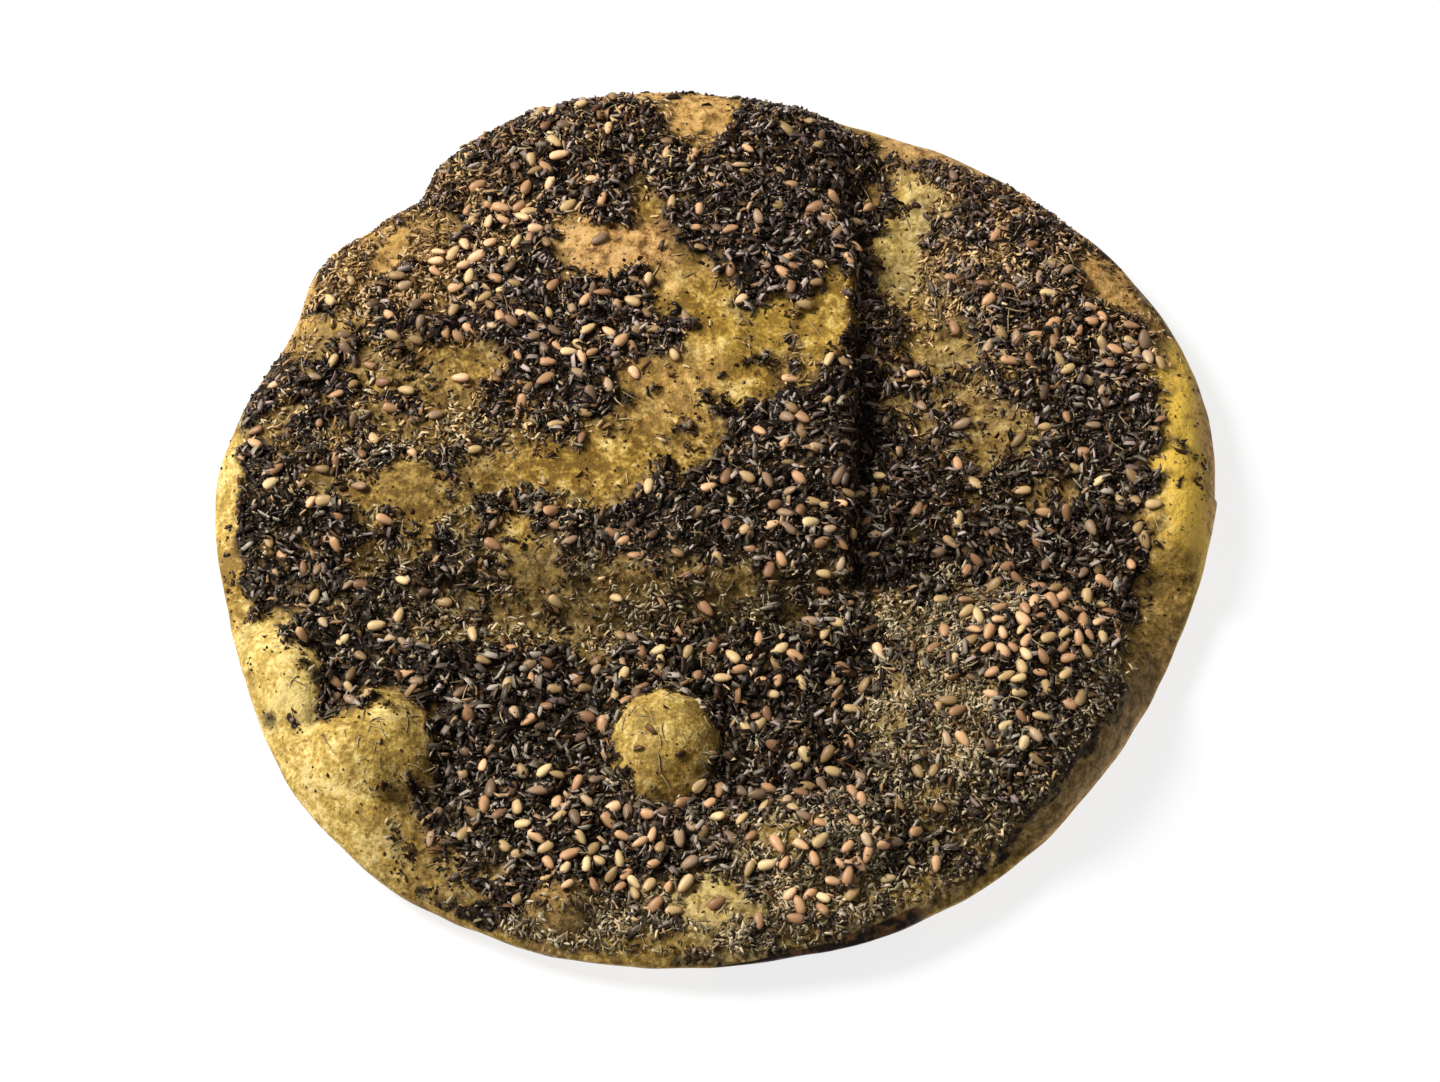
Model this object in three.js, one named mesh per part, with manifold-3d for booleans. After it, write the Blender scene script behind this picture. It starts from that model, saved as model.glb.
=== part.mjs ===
// Zaatar fatayer: an open flatbread, a round of yeast dough pressed flat by hand and baked under
// a crust of zaatar herb and sesame. Millimetres, +Z up, the flat underside on the plane z = 0.

import * as THREE from "three";
import { mergeVertices } from "three/addons/utils/BufferGeometryUtils.js";
import Module from "manifold-3d";

// Outline: a round of dough with the lobes where it spread further, and one nick
// at and spread are degrees around the round, reach is millimetres
const ROUND_RADIUS = 71.5;
const ROUND_MIDDLE_X = 0.82;
const EDGE_LOBES = [
  { at: 12, reach: 6.2, spread: 20 },
  { at: 45, reach: 2.8, spread: 21 },
  { at: 112, reach: 7.6, spread: 21 },
  { at: 132, reach: -2.4, spread: 2.6 },
  { at: 148, reach: 3.4, spread: 4.5 },
  { at: 176, reach: 5.3, spread: 13 },
  { at: 227, reach: 9.5, spread: 29 },
  { at: 292, reach: 3.8, spread: 22 },
];

// Rim: the shoulder rolls down to the widest line, and the tuck rolls under to the base
const SHOULDER = 9;
const WIDEST_HEIGHT = 4.2;
const TUCK = 5;
const STEEP_RIM = { at: 316, spread: 26, shoulderLess: 5 };
const LIFTED_RIM = { at: 284, spread: 13, higher: 1.8, tuckMore: 6 };

// Top of the dough: a low bed, a tall pillow at the left and back, a plateau at the right
const BED_HEIGHT = 6.5;
const PILLOW_RISE = 4.8;
const PILLOW_FRONT = { x: -10, y: -24.5, bow: 0.005, flank: 9 };
const PILLOW_CROWN = { x: -27, y: 22, along: 58, across: 50, turn: 0, rise: 1.3, foot: 1 };
const CREASE = { x: 20.1, lean: 0.026, wall: 2, softFrom: 42, softTo: 66, softWall: 10, endY: -20 };
const PLATEAU_RISE = 3.5;
const PLATEAU_EDGE = { x: 26, sweep: 27, fromY: -5, fade: 24, flank: 10 };

// Blisters and hollows of the dough: half lengths along and across, turn in degrees from +X,
// rise in millimetres, and foot, which is low for a crisp foot and high for a soft one
const BLISTERS = [
  { x: 44, y: -37.5, along: 24, across: 22, turn: 20, rise: 7.5, foot: 0.85 },
  { x: 16, y: -58.5, along: 14.5, across: 8.5, turn: 6, rise: 4.6, foot: 0.8 },
  { x: -7.9, y: -42.9, along: 9.6, across: 8.8, turn: 90, rise: 6, foot: 0.62 },
  { x: -50.5, y: -43, along: 10.5, across: 9, turn: -30, rise: 5.5, foot: 0.75 },
  { x: -65, y: -31, along: 9.5, across: 6.5, turn: -55, rise: 4.5, foot: 0.85 },
  { x: -57, y: -51, along: 20, across: 10, turn: -50, rise: 3.5, foot: 1.5 },
  { x: -23, y: -68.5, along: 5.5, across: 4.6, turn: 0, rise: 3, foot: 0.75 },
  { x: 12, y: -70, along: 34, across: 7, turn: 8, rise: 1.8, foot: 1.5 },
  { x: 71, y: 2, along: 19, across: 7, turn: 88, rise: 2.2, foot: 1.5 },
  { x: -20, y: 62, along: 24, across: 12, turn: 5, rise: 1.6, foot: 1.5 },
  { x: -16, y: 43, along: 14, across: 8, turn: -12, rise: 1.5, foot: 1.3 },
  { x: -2, y: 24, along: 15, across: 9, turn: -55, rise: 1.4, foot: 1.3 },
  { x: -47, y: -1, along: 15, across: 7, turn: 10, rise: 1.2, foot: 1.3 },
  { x: -61, y: 38, along: 14, across: 7, turn: 60, rise: 1.2, foot: 1.5 },
  { x: 25, y: 59, along: 9, across: 6, turn: 80, rise: -1.6, foot: 1.5 },
  { x: 67, y: -17, along: 7, across: 5, turn: 20, rise: -1.8, foot: 1.5 },
];

// Crags: the low waves of the herb crust
const CRAG_RISE = 0.3;
const CRAG_WAVES = [
  { length: 17, turn: 20, start: 0.4 },
  { length: 13, turn: 77, start: 2.1 },
  { length: 11, turn: 141, start: 4.4 },
];

// Dough left bare of topping, half lengths along and across, turn in degrees from +X
const BARE_PATCHES = [
  { x: -57, y: -47, along: 26, across: 12, turn: -52 },
  { x: -8.2, y: -41.5, along: 10, across: 9, turn: 90 },
  { x: 72, y: 6, along: 24, across: 6, turn: 92 },
  { x: -2, y: 25, along: 19, across: 9, turn: -58 },
  { x: 14, y: 29, along: 8, across: 7, turn: 60 },
  { x: -16, y: 42, along: 12, across: 6, turn: -10 },
  { x: -17, y: 3, along: 15, across: 5, turn: -5 },
  { x: -47, y: -3, along: 13, across: 6, turn: 15 },
  { x: -61, y: 37, along: 13, across: 6, turn: 62 },
  { x: 31, y: 46, along: 15, across: 4, turn: 92 },
  { x: -3, y: 70, along: 6, across: 6, turn: 0 },
];

// Sesame seeds: flat teardrops pressed a little into the crust
const SEED_LENGTH = 3.2;
const SEED_WIDTH = 1.95;
const SEED_THICKNESS = 1.1;
const SEED_SUNK = 0.4;
const SEED_SIDES = 4;
const SEED_SHOULDERS = [
  { along: 0.3, width: 0.92 },
  { along: 0.72, width: 0.72 },
];
const SEED_PLACES = 172;
const SEED_FROM_EDGE = 8;
const SEED_SPIN = 73;
const GOLDEN_ANGLE = 180 * (3 - Math.sqrt(5));

// Shares of the dough ball's skin that become the top and the rim, the rest the underside
const BALL_DETAIL = 16;
const TOP_SHARE = 0.72;
const RIM_SHARE = 0.2;
const CREASE_DRAW = 0.6;
const CREASE_REACH = 9;
const LOOK_DOWN_FROM = 50;

const { degToRad, radToDeg, smoothstep, euclideanModulo } = THREE.MathUtils;
const wasm = await Module();
wasm.setup();

// Bell of height one round a direction, both in degrees
function bell(direction, at, spread) {
  const off = euclideanModulo(direction - at + 180, 360) - 180;
  return Math.exp(-0.5 * (off / spread) ** 2);
}

// Reach of the dough from its middle in one direction
function edgeRadius(direction) {
  let radius = ROUND_RADIUS;
  for (const lobe of EDGE_LOBES) {
    radius += lobe.reach * bell(direction, lobe.at, lobe.spread);
  }
  return radius;
}

// Squared distance from the middle of an oval, in which its edge is at one
function ovalDistance(oval, x, y) {
  const turn = degToRad(oval.turn);
  const along = (x - oval.x) * Math.cos(turn) + (y - oval.y) * Math.sin(turn);
  const across = (y - oval.y) * Math.cos(turn) - (x - oval.x) * Math.sin(turn);
  return (along / oval.along) ** 2 + (across / oval.across) ** 2;
}

function blisterRise(blister, x, y) {
  const inside = Math.max(0, 1 - ovalDistance(blister, x, y));
  return blister.rise * inside ** blister.foot;
}

function creaseX(y) {
  return CREASE.x + CREASE.lean * y;
}

// The pillow ends at the crease on its right and in a bowed flank at the front
function pillowRise(x, y) {
  const soft = smoothstep(y, CREASE.softFrom, CREASE.softTo);
  const wall = CREASE.wall + (CREASE.softWall - CREASE.wall) * soft;
  const fromCrease = creaseX(y) + CREASE.wall - x;
  const front = PILLOW_FRONT.y + PILLOW_FRONT.bow * (x - PILLOW_FRONT.x) ** 2;
  const left = smoothstep(fromCrease, 0, wall);
  const back = smoothstep(y - front, 0, PILLOW_FRONT.flank);
  return (PILLOW_RISE + blisterRise(PILLOW_CROWN, x, y)) * left * back;
}

function plateauRise(x, y) {
  const sweep = PLATEAU_EDGE.sweep * Math.exp((PLATEAU_EDGE.fromY - y) / PLATEAU_EDGE.fade);
  return PLATEAU_RISE * smoothstep(x - PLATEAU_EDGE.x - sweep, 0, PLATEAU_EDGE.flank);
}

function isBare(x, y) {
  return BARE_PATCHES.some((patch) => ovalDistance(patch, x, y) < 1);
}

function cragRise(x, y) {
  let rise = 0;
  for (const wave of CRAG_WAVES) {
    const turn = degToRad(wave.turn);
    const run = x * Math.cos(turn) + y * Math.sin(turn);
    rise += CRAG_RISE * Math.sin((2 * Math.PI * run) / wave.length + wave.start);
  }
  return rise;
}

function topHeight(x, y) {
  let height = BED_HEIGHT + pillowRise(x, y) + plateauRise(x, y);
  for (const blister of BLISTERS) {
    height += blisterRise(blister, x, y);
  }
  return isBare(x, y) ? height : height + cragRise(x, y);
}

// The point of the flattened dough for a point on the skin of a round ball of it
function pressed(skin) {
  const direction = euclideanModulo(radToDeg(Math.atan2(skin.y, skin.x)), 360);
  const outward = new THREE.Vector2(Math.cos(degToRad(direction)), Math.sin(degToRad(direction)));
  const share = (1 - skin.z) / 2;
  const steep = bell(direction, STEEP_RIM.at, STEEP_RIM.spread);
  const lifted = bell(direction, LIFTED_RIM.at, LIFTED_RIM.spread);
  const shoulder = SHOULDER - STEEP_RIM.shoulderLess * steep;
  const widest = WIDEST_HEIGHT + LIFTED_RIM.higher * lifted;
  const tuck = TUCK + LIFTED_RIM.tuckMore * lifted;
  const edge = edgeRadius(direction);
  const onTop = Math.min(1, share / TOP_SHARE);
  const onRim = Math.min(1, Math.max(0, share - TOP_SHARE) / RIM_SHARE);
  const onBase = Math.max(0, share - TOP_SHARE - RIM_SHARE) / (1 - TOP_SHARE - RIM_SHARE);
  const roll = Math.PI * (0.5 - onRim);
  const inset = (roll > 0 ? shoulder : tuck) * (1 - Math.cos(roll));
  const radius = (edge - inset) * Math.sqrt(onTop) * Math.sqrt(1 - onBase);
  const y = radius * outward.y;
  let x = ROUND_MIDDLE_X + radius * outward.x;
  if (roll > 0) {
    const away = x - creaseX(y);
    const near = Math.exp(-((away / CREASE_REACH) ** 2)) * (1 - onTop ** 4);
    x -= CREASE_DRAW * away * near * smoothstep(y, CREASE.endY - CREASE_REACH, CREASE.endY);
  }
  const over = (topHeight(x, y) - widest) * Math.sin(roll);
  const under = widest * (1 + Math.sin(roll));
  return new THREE.Vector3(x, y, roll > 0 ? widest + over : under);
}

// One closed body from a geometry, its shared corners merged
function solidFrom(geometry) {
  const plain = geometry.clone();
  plain.deleteAttribute("normal");
  plain.deleteAttribute("uv");
  const merged = mergeVertices(plain);
  const vertProperties = new Float32Array(merged.attributes.position.array);
  const triVerts = new Uint32Array(merged.index.array);
  return new wasm.Manifold(new wasm.Mesh({ numProp: 3, vertProperties, triVerts }));
}

function geometryFrom(solid) {
  const mesh = solid.getMesh();
  const geometry = new THREE.BufferGeometry();
  geometry.setAttribute("position", new THREE.BufferAttribute(mesh.vertProperties, 3));
  geometry.setIndex(new THREE.BufferAttribute(mesh.triVerts, 1));
  geometry.computeVertexNormals();
  return geometry;
}

// The dough, from a ball pressed flat
function doughGeometry() {
  const ball = new THREE.IcosahedronGeometry(1, BALL_DETAIL);
  ball.deleteAttribute("normal");
  ball.deleteAttribute("uv");
  const dough = mergeVertices(ball);
  const places = dough.attributes.position;
  const skin = new THREE.Vector3();
  for (let i = 0; i < places.count; i += 1) {
    const at = pressed(skin.fromBufferAttribute(places, i));
    places.setXYZ(i, at.x, at.y, at.z);
  }
  dough.computeVertexNormals();
  dough.computeBoundingSphere();
  return dough;
}

// One sesame seed, pointed at both ends and lying along Y
function seedGeometry() {
  const outline = [new THREE.Vector2(0, -SEED_LENGTH / 2)];
  for (const shoulder of SEED_SHOULDERS) {
    const halfWidth = (shoulder.width * SEED_WIDTH) / 2;
    outline.push(new THREE.Vector2(halfWidth, (shoulder.along - 0.5) * SEED_LENGTH));
  }
  outline.push(new THREE.Vector2(0, SEED_LENGTH / 2));
  const seed = new THREE.LatheGeometry(outline, SEED_SIDES);
  seed.scale(1, 1, SEED_THICKNESS / SEED_WIDTH);
  return seed;
}

// The seeds laid over the topping in a spiral, each flat on the crust beneath it
function seedSolids(doughMesh) {
  const down = new THREE.Vector3(0, 0, -1);
  const up = new THREE.Vector3(0, 0, 1);
  const ray = new THREE.Raycaster();
  const seed = seedGeometry();
  const solids = [];
  for (let i = 0; i < SEED_PLACES; i += 1) {
    const direction = euclideanModulo(i * GOLDEN_ANGLE, 360);
    const reach = edgeRadius(direction) - SEED_FROM_EDGE;
    const radius = reach * Math.sqrt((i + 0.5) / SEED_PLACES);
    const x = ROUND_MIDDLE_X + radius * Math.cos(degToRad(direction));
    const y = radius * Math.sin(degToRad(direction));
    if (!isBare(x, y)) {
      ray.set(new THREE.Vector3(x, y, LOOK_DOWN_FROM), down);
      const hit = ray.intersectObject(doughMesh)[0];
      const spin = new THREE.Quaternion().setFromAxisAngle(up, degToRad(i * SEED_SPIN));
      const lie = new THREE.Quaternion().setFromUnitVectors(up, hit.face.normal);
      const lift = SEED_THICKNESS * (0.5 - SEED_SUNK);
      const centre = hit.point.clone().addScaledVector(hit.face.normal, lift);
      const placed = seed.clone().applyQuaternion(lie.multiply(spin));
      placed.translate(centre.x, centre.y, centre.z);
      solids.push(solidFrom(placed));
    }
  }
  return solids;
}

const dough = doughGeometry();
let flatbread = solidFrom(dough);
for (const seed of seedSolids(new THREE.Mesh(dough))) {
  flatbread = flatbread.add(seed);
}

const crust = new THREE.MeshStandardMaterial({ color: 0x8f7447, roughness: 0.85, metalness: 0 });
const bread = new THREE.Mesh(geometryFrom(flatbread), crust);
bread.name = "flatbread";

const part = new THREE.Group();
part.add(bread);

export default part;
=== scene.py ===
import math

import bmesh
import bpy
import numpy as np
from mathutils import Matrix, Vector
from mathutils.bvhtree import BVHTree
from mathutils.kdtree import KDTree


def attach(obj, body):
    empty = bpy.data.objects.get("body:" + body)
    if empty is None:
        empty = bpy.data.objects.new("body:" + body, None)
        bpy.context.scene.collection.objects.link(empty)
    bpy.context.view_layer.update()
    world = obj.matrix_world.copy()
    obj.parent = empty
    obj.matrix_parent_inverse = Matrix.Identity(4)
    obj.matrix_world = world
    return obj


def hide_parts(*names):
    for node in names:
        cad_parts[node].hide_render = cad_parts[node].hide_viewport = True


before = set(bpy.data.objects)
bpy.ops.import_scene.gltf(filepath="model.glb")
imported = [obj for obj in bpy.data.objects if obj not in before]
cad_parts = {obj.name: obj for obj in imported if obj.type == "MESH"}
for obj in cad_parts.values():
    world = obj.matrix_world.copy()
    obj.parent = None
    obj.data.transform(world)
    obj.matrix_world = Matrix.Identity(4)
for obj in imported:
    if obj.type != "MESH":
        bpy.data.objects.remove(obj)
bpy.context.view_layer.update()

# The dough: one round of soft yeast dough, pressed flat by hand and blistered in a hot oven.
# Sizes are in millimetres until the mesh is done, with the flat underside on the plane z = 0.
# The round is laid out flat from a grid, with its rim and underside as further rings, then pressed.
MM = 0.001
ROUND_RADIUS = 71.5
ROUND_MIDDLE_X = 0.82
# Where the dough spread further, and one nick: direction in degrees, reach, spread in degrees
EDGE_LOBES = [
    (12, 6.2, 20),
    (45, 2.8, 21),
    (112, 7.6, 21),
    (132, -2.4, 2.6),
    (148, 3.4, 4.5),
    (176, 5.3, 13),
    (227, 9.5, 29),
    (292, 3.8, 22),
]
SHOULDER = 9
WIDEST_HEIGHT = 4.2
TUCK = 5
STEEP_RIM_AT, STEEP_RIM_SPREAD, STEEP_RIM_LESS = 316, 26, 5
LIFTED_RIM_AT, LIFTED_RIM_SPREAD, LIFTED_RIM_HIGHER, LIFTED_RIM_TUCK = 284, 13, 1.8, 6
BED_HEIGHT = 6.5
PILLOW_RISE = 4.8
PILLOW_FRONT_X, PILLOW_FRONT_Y, PILLOW_FRONT_BOW, PILLOW_FLANK = -10, -24.5, 0.005, 9
CREASE_X, CREASE_LEAN, CREASE_WALL = 20.1, 0.026, 2
CREASE_SOFT_FROM, CREASE_SOFT_TO, CREASE_SOFT_WALL = 42, 66, 10
PLATEAU_RISE = 3.5
PLATEAU_X, PLATEAU_SWEEP, PLATEAU_FROM_Y, PLATEAU_FADE, PLATEAU_FLANK = 26, 27, -5, 24, 10
# Unevenness, here and below, is in layers: size of the spots, seed, strength
CREASE_WOBBLE = [(8, 21, 0.7)]
# The pillow's crown, blisters and hollows: x, y, half lengths along and across, turn in degrees,
# rise, foot. A low foot is crisp and a high one soft.
PILLOW_CROWN = (-27, 22, 58, 50, 0, 1.3, 1)
DOME = (44, -37.5, 24, 22, 20, 7.5, 0.85)
ROUND_BLISTER = (-7.9, -42.9, 9.6, 8.8, 90, 6, 0.62)
BLISTERS = [
    DOME,
    (16, -58.5, 14.5, 8.5, 6, 4.6, 0.8),
    ROUND_BLISTER,
    (-50.5, -43, 10.5, 9, -30, 5.5, 0.75),
    (-65, -31, 9.5, 6.5, -55, 4.5, 0.85),
    (-57, -51, 20, 10, -50, 3.5, 1.5),
    (-23, -68.5, 5.5, 4.6, 0, 3, 0.75),
    (12, -70, 34, 7, 8, 1.8, 1.5),
    (71, 2, 19, 7, 88, 2.2, 1.5),
    (-20, 62, 24, 12, 5, 1.6, 1.5),
    (-16, 43, 14, 8, -12, 1.5, 1.3),
    (-2, 24, 15, 9, -55, 1.4, 1.3),
    (-47, -1, 15, 7, 10, 1.2, 1.3),
    (-61, 38, 14, 7, 60, 1.2, 1.5),
    (25, 59, 9, 6, 80, -1.6, 1.5),
    (67, -17, 7, 5, 20, -1.8, 1.5),
]


def ramp(value, start, end):
    """Smooth climb from 0 at start to 1 at end."""
    share = np.clip((value - start) / (end - start), 0, 1)
    return share * share * (3 - 2 * share)


def bell(direction, at, spread):
    off = (direction - at + 180) % 360 - 180
    return np.exp(-0.5 * (off / spread) ** 2)


def edge_radius(direction):
    lobes = (reach * bell(direction, at, spread) for at, reach, spread in EDGE_LOBES)
    return ROUND_RADIUS + sum(lobes)


def oval(x, y, middle_x, middle_y, along, across, turn):
    """Distance from the middle of an oval, 1 at its edge."""
    c, s = math.cos(math.radians(turn)), math.sin(math.radians(turn))
    run = (x - middle_x) * c + (y - middle_y) * s
    side = (y - middle_y) * c - (x - middle_x) * s
    return np.hypot(run / along, side / across)


def mottle(x, y, size, seed):
    """Smooth random mottling from -1 to 1, in spots of about one size."""
    cells = 128
    table = np.random.default_rng(seed).uniform(-1, 1, (cells, cells))
    c, s = math.cos(seed), math.sin(seed)
    column, row = (x * c - y * s) / size, (x * s + y * c) / size
    left, low = np.floor(column).astype(int), np.floor(row).astype(int)
    across, up = ramp(column - left, 0, 1), ramp(row - low, 0, 1)
    left, right = left % cells, (left + 1) % cells
    low, high = low % cells, (low + 1) % cells
    near = table[low, left] * (1 - across) + table[low, right] * across
    far = table[high, left] * (1 - across) + table[high, right] * across
    return near * (1 - up) + far * up


def uneven(x, y, layers):
    """Mottling in layers, from coarse to fine."""
    return sum(strength * mottle(x, y, size, seed) for size, seed, strength in layers)


def blister_rise(x, y, middle_x, middle_y, along, across, turn, rise, foot):
    inside = 1 - oval(x, y, middle_x, middle_y, along, across, turn) ** 2
    return rise * np.maximum(0, inside) ** foot


def crease_x(y):
    return CREASE_X + CREASE_LEAN * y + uneven(y, 0 * y, CREASE_WOBBLE)


def dough_height(x, y):
    """Height of the dough's top: the low bed, the pillow, the plateau and the blisters."""
    soft = ramp(y, CREASE_SOFT_FROM, CREASE_SOFT_TO)
    wall = CREASE_WALL + (CREASE_SOFT_WALL - CREASE_WALL) * soft
    front = PILLOW_FRONT_Y + PILLOW_FRONT_BOW * (x - PILLOW_FRONT_X) ** 2
    left_of_crease = ramp((crease_x(y) + CREASE_WALL - x) / wall, 0, 1)
    behind_front = ramp(y - front, 0, PILLOW_FLANK)
    crown = PILLOW_RISE + blister_rise(x, y, *PILLOW_CROWN)
    sweep = PLATEAU_SWEEP * np.exp((PLATEAU_FROM_Y - y) / PLATEAU_FADE)
    plateau = PLATEAU_RISE * ramp(x - PLATEAU_X - sweep, 0, PLATEAU_FLANK)
    height = BED_HEIGHT + crown * left_of_crease * behind_front + plateau
    return height + sum(blister_rise(x, y, *blister) for blister in BLISTERS)


# Dough that the topping left bare: x, y, half lengths along and across, turn, how bare
BARE_PATCHES = [
    (-66, -31.5, 11, 6, -58, 1.0),
    (-51, -44, 8.5, 8.5, 0, 1.0),
    (-58, -50.5, 17, 7.5, -52, 1.0),
    (-50, -60, 9, 4.5, -40, 0.9),
    (-43, -61.5, 10, 5, -25, 0.88),
    (-74, -18, 9, 2.8, -76, 1.0),
    (-76, 0, 12, 2.8, 92, 1.0),
    (-49, -3, 9.5, 5, -8, 1.0),
    (-37, 0.5, 6, 5.5, 30, 0.95),
    (-47, -8, 6, 4, -30, 0.7),
    (-62, 5, 6, 4, 20, 0.45),
    (-34, 1, 8, 4.5, 0, 0.95),
    (-25, 1.5, 13, 5, -6, 1.0),
    (-16, 1.5, 7, 4.5, 5, 0.95),
    (-5, 4, 4, 5, -15, 0.8),
    (-6, 13, 9, 8, 45, 1.0),
    (2, 17, 9, 5, 12, 1.0),
    (0, 24, 6, 7, 0, 1.0),
    (-3, 32, 11, 5.5, -52, 1.0),
    (8, 27, 5, 8, -15, 0.9),
    (16.5, 29, 9, 4, 72, 1.0),
    (-17, 42, 11, 5, -8, 1.0),
    (-11, 49, 3.5, 6, 10, 0.7),
    (-4, 53, 4.5, 2.5, 20, 0.5),
    (-58, 42, 10, 4, 48, 0.7),
    (-53, 40, 6, 3, 70, 0.95),
    (-64.5, 32, 9, 3.5, 78, 0.6),
    (-47, 43, 8, 6, 40, 0.45),
    (-48, 30, 4, 3, 60, 0.5),
    (-50, 17.5, 7, 4, 15, 0.7),
    (-41, 20.5, 5, 3.5, 60, 0.7),
    (-29, -13.5, 8, 4, -75, 0.9),
    (-33, -20, 9, 3.5, -10, 0.8),
    (-22, -20, 8, 4, 0, 0.75),
    (-12, -21, 12, 3, 5, 0.4),
    (29.5, 48, 11, 4.5, 88, 0.95),
    (31.5, 35, 9, 4.5, -75, 0.8),
    (31, 57, 5, 5, 60, 0.9),
    (36, 52, 5, 3, 30, 0.6),
    (34, 64, 9, 3, -25, 0.9),
    (36, 23, 10, 5, -66, 0.8),
    (44, 22, 4, 3, 0, 0.5),
    (42.5, 10, 8, 5, -60, 0.9),
    (52, -2, 5, 4, -30, 0.5),
    (63, 37.5, 7, 3.5, -48, 1.0),
    (69, 30, 7, 2.5, -60, 0.6),
    (74, 12, 17, 4, 98, 1.0),
    (71.8, -3.5, 10.8, 6, 81, 1.0),
    (71, -13, 8, 4.5, 70, 1.0),
    (9.5, -59, 5.5, 3.5, 25, 0.85),
    (-1, -66, 4.5, 3.5, 0, 0.75),
    (4, -67.5, 8, 2, 0, 0.6),
    (-23, -68.5, 5.5, 4.6, 0, 0.8),
    (-8, -74.5, 10, 2.5, 3, 0.85),
    (23, -67, 12, 2.5, 14, 0.7),
    (-2.5, 70, 6, 7, -20, 1.0),
    (-14, 74, 10, 2, -3, 0.8),
    (68, -22, 12, 3.5, 57, 1.0),
    (-58, 29, 7, 6, 30, 0.6),
    (-41, 20, 8, 5.5, 15, 0.8),
    (-45, -2.5, 9.5, 7, 0, 0.95),
    (-13, 5, 9, 5, 0, 0.95),
    (0.5, -68.5, 7, 4.5, 0, 0.95),
    (38, -20, 13, 5, 10, 0.42),
    (-51, 8, 20, 26, 0, 0.37),
    (-50, 42, 20, 11, 45, 0.58),
    (38, 28, 13, 30, 0, 0.3),
    (2, -70, 40, 6, 5, 0.4),
    (-15, -20, 32, 6, 0, 0.45),
]
# Dough of other tones: pale, golden (on the right rim partly painted light), toasted brown, stained olive
# by the herb, and soaked brown by the oil, with painted shade on flanks that face away from the light. The
# columns are the same, with how far in the last.
PALE_PATCHES = [
    (-66, -31.5, 12, 8, -58, 1.0),
    (-61, -48, 16, 8, -52, 0.65),
    (-51, -44, 8, 8, 0, 0.5),
    (-10, -41.5, 7, 7, 0, 0.5),
    (-76, 2, 12, 3, 92, 0.6),
    (0.5, -68.5, 8, 5, 0, 1.0),
    (32, 49, 14, 5, 85, 1.0),
    (70, 6, 16, 4, 94, 0.5),
    (-58, 29, 9, 8, 30, 0.5),
]
# Golden crust; on the right rim it is also painted light, brighter than its shading leaves it
GOLDEN_AND_LIT_PATCHES = [
    (74, 5, 24, 7, 94, 1.0),
    (68, -22, 13, 5, 57, 0.35),
    (-62, 36, 16, 4, 62, 0.6),
    (-2.5, 71, 9, 7, -20, 0.8),
    (10, 26, 12, 8, 0, 0.15),
]
TOASTED_PATCHES = [
    (-17, 43, 13, 7, -8, 1.0),
    (-3, 71, 8, 8, 0, 0.9),
    (-14, 75, 12, 4, 0, 0.8),
    (34, 64, 12, 5, -20, 1.0),
    (64, 38, 10, 5, -48, 0.8),
    (-55, 44, 24, 11, 50, 0.65),
    (64, -38, 28, 6, 57, 0.8),
    (78, 4, 22, 2.5, 92, 0.9),
    (-6, 16, 8, 7, 40, 0.35),
    (-23, -68.5, 6, 5, 0, 0.7),
]
OLIVE_PATCHES = [
    (-8, -42.5, 11, 11, 0, 0.2),
    (60, -40, 24, 9, 57, 0.25),
    (-18, -18, 34, 7, 0, 0.4),
    (8, -70, 36, 7, 6, 0.7),
    (33, 45, 20, 7, 90, 0.6),
    (38, 16, 14, 8, -50, 0.5),
    (10, -57, 7, 5, 10, 0.6),
    (16, -61, 16, 9, 6, 0.5),
    (-41, -61.5, 10, 6, -25, 0.6),
]
# Oil-soaked brown, and painted shade on the pillow's front flank, the lower right rim and the far flanks of
# the left blisters and the round blister
SOAKED_AND_SHADED_PATCHES = [
    (-45, 0, 17, 11, 0, 0.5),
    (-46, 20, 15, 9, 0, 0.5),
    (-20, -18, 32, 7, 0, 0.8),
    (36, 20, 12, 28, 0, 0.45),
    (64, -38, 28, 6, 57, 0.4),
    (69, -22, 13, 6, 57, 0.85),
    (-43.5, -46, 9, 4.5, 80, 0.45),
    (-0.5, -44.5, 9, 4, 80, 0.32),
    (-7, -51, 8, 3.5, 0, 0.32),
    (-58, -56, 12, 5.5, -48, 0.25),
    (-22, -69, 6, 5, 0, 0.5),
]
PATCH_SOFTNESS = 0.5
PATCH_RAGGED = [(6, 1, 0.24), (2.6, 2, 0.26), (1.1, 3, 0.2)]
BLISTER_RAGGED = [(2.6, 2, 0.1), (1.1, 3, 0.08)]
DOME_FOOT, DOME_BARE = 0.1, 0.5
DOME_FLANK_FROM, DOME_FLANK_TO, DOME_FLANK_RAGGED = 34, 47, [(6, 1, 4)]
ROUND_FOOT, ROUND_BARE = 0.18, 0.95
THIN_HERB_CLUMPS = [(4.5, 51, 0.75), (2, 52, 0.55)]
COVER_FROM, COVER_TO = 0.1, 0.9


def patchiness(x, y, patches, softness=PATCH_SOFTNESS):
    """How far a place lies inside any of some ragged-edged patches, from 0 to 1."""
    ragged = uneven(x, y, PATCH_RAGGED)
    most = np.zeros_like(x)
    for middle_x, middle_y, along, across, turn, strength in patches:
        inside = 1 - oval(x, y, middle_x, middle_y, along, across, turn) + ragged
        most = np.maximum(most, strength * ramp(inside, -softness, softness))
    return most


def on_blister(x, y, blister, foot):
    """How far a place lies on a blister, from 0 at its edge to 1 at a share of the way in."""
    inside = 1 - oval(x, y, *blister[:5]) + uneven(x, y, BLISTER_RAGGED)
    return ramp(inside, 0, foot)


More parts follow.
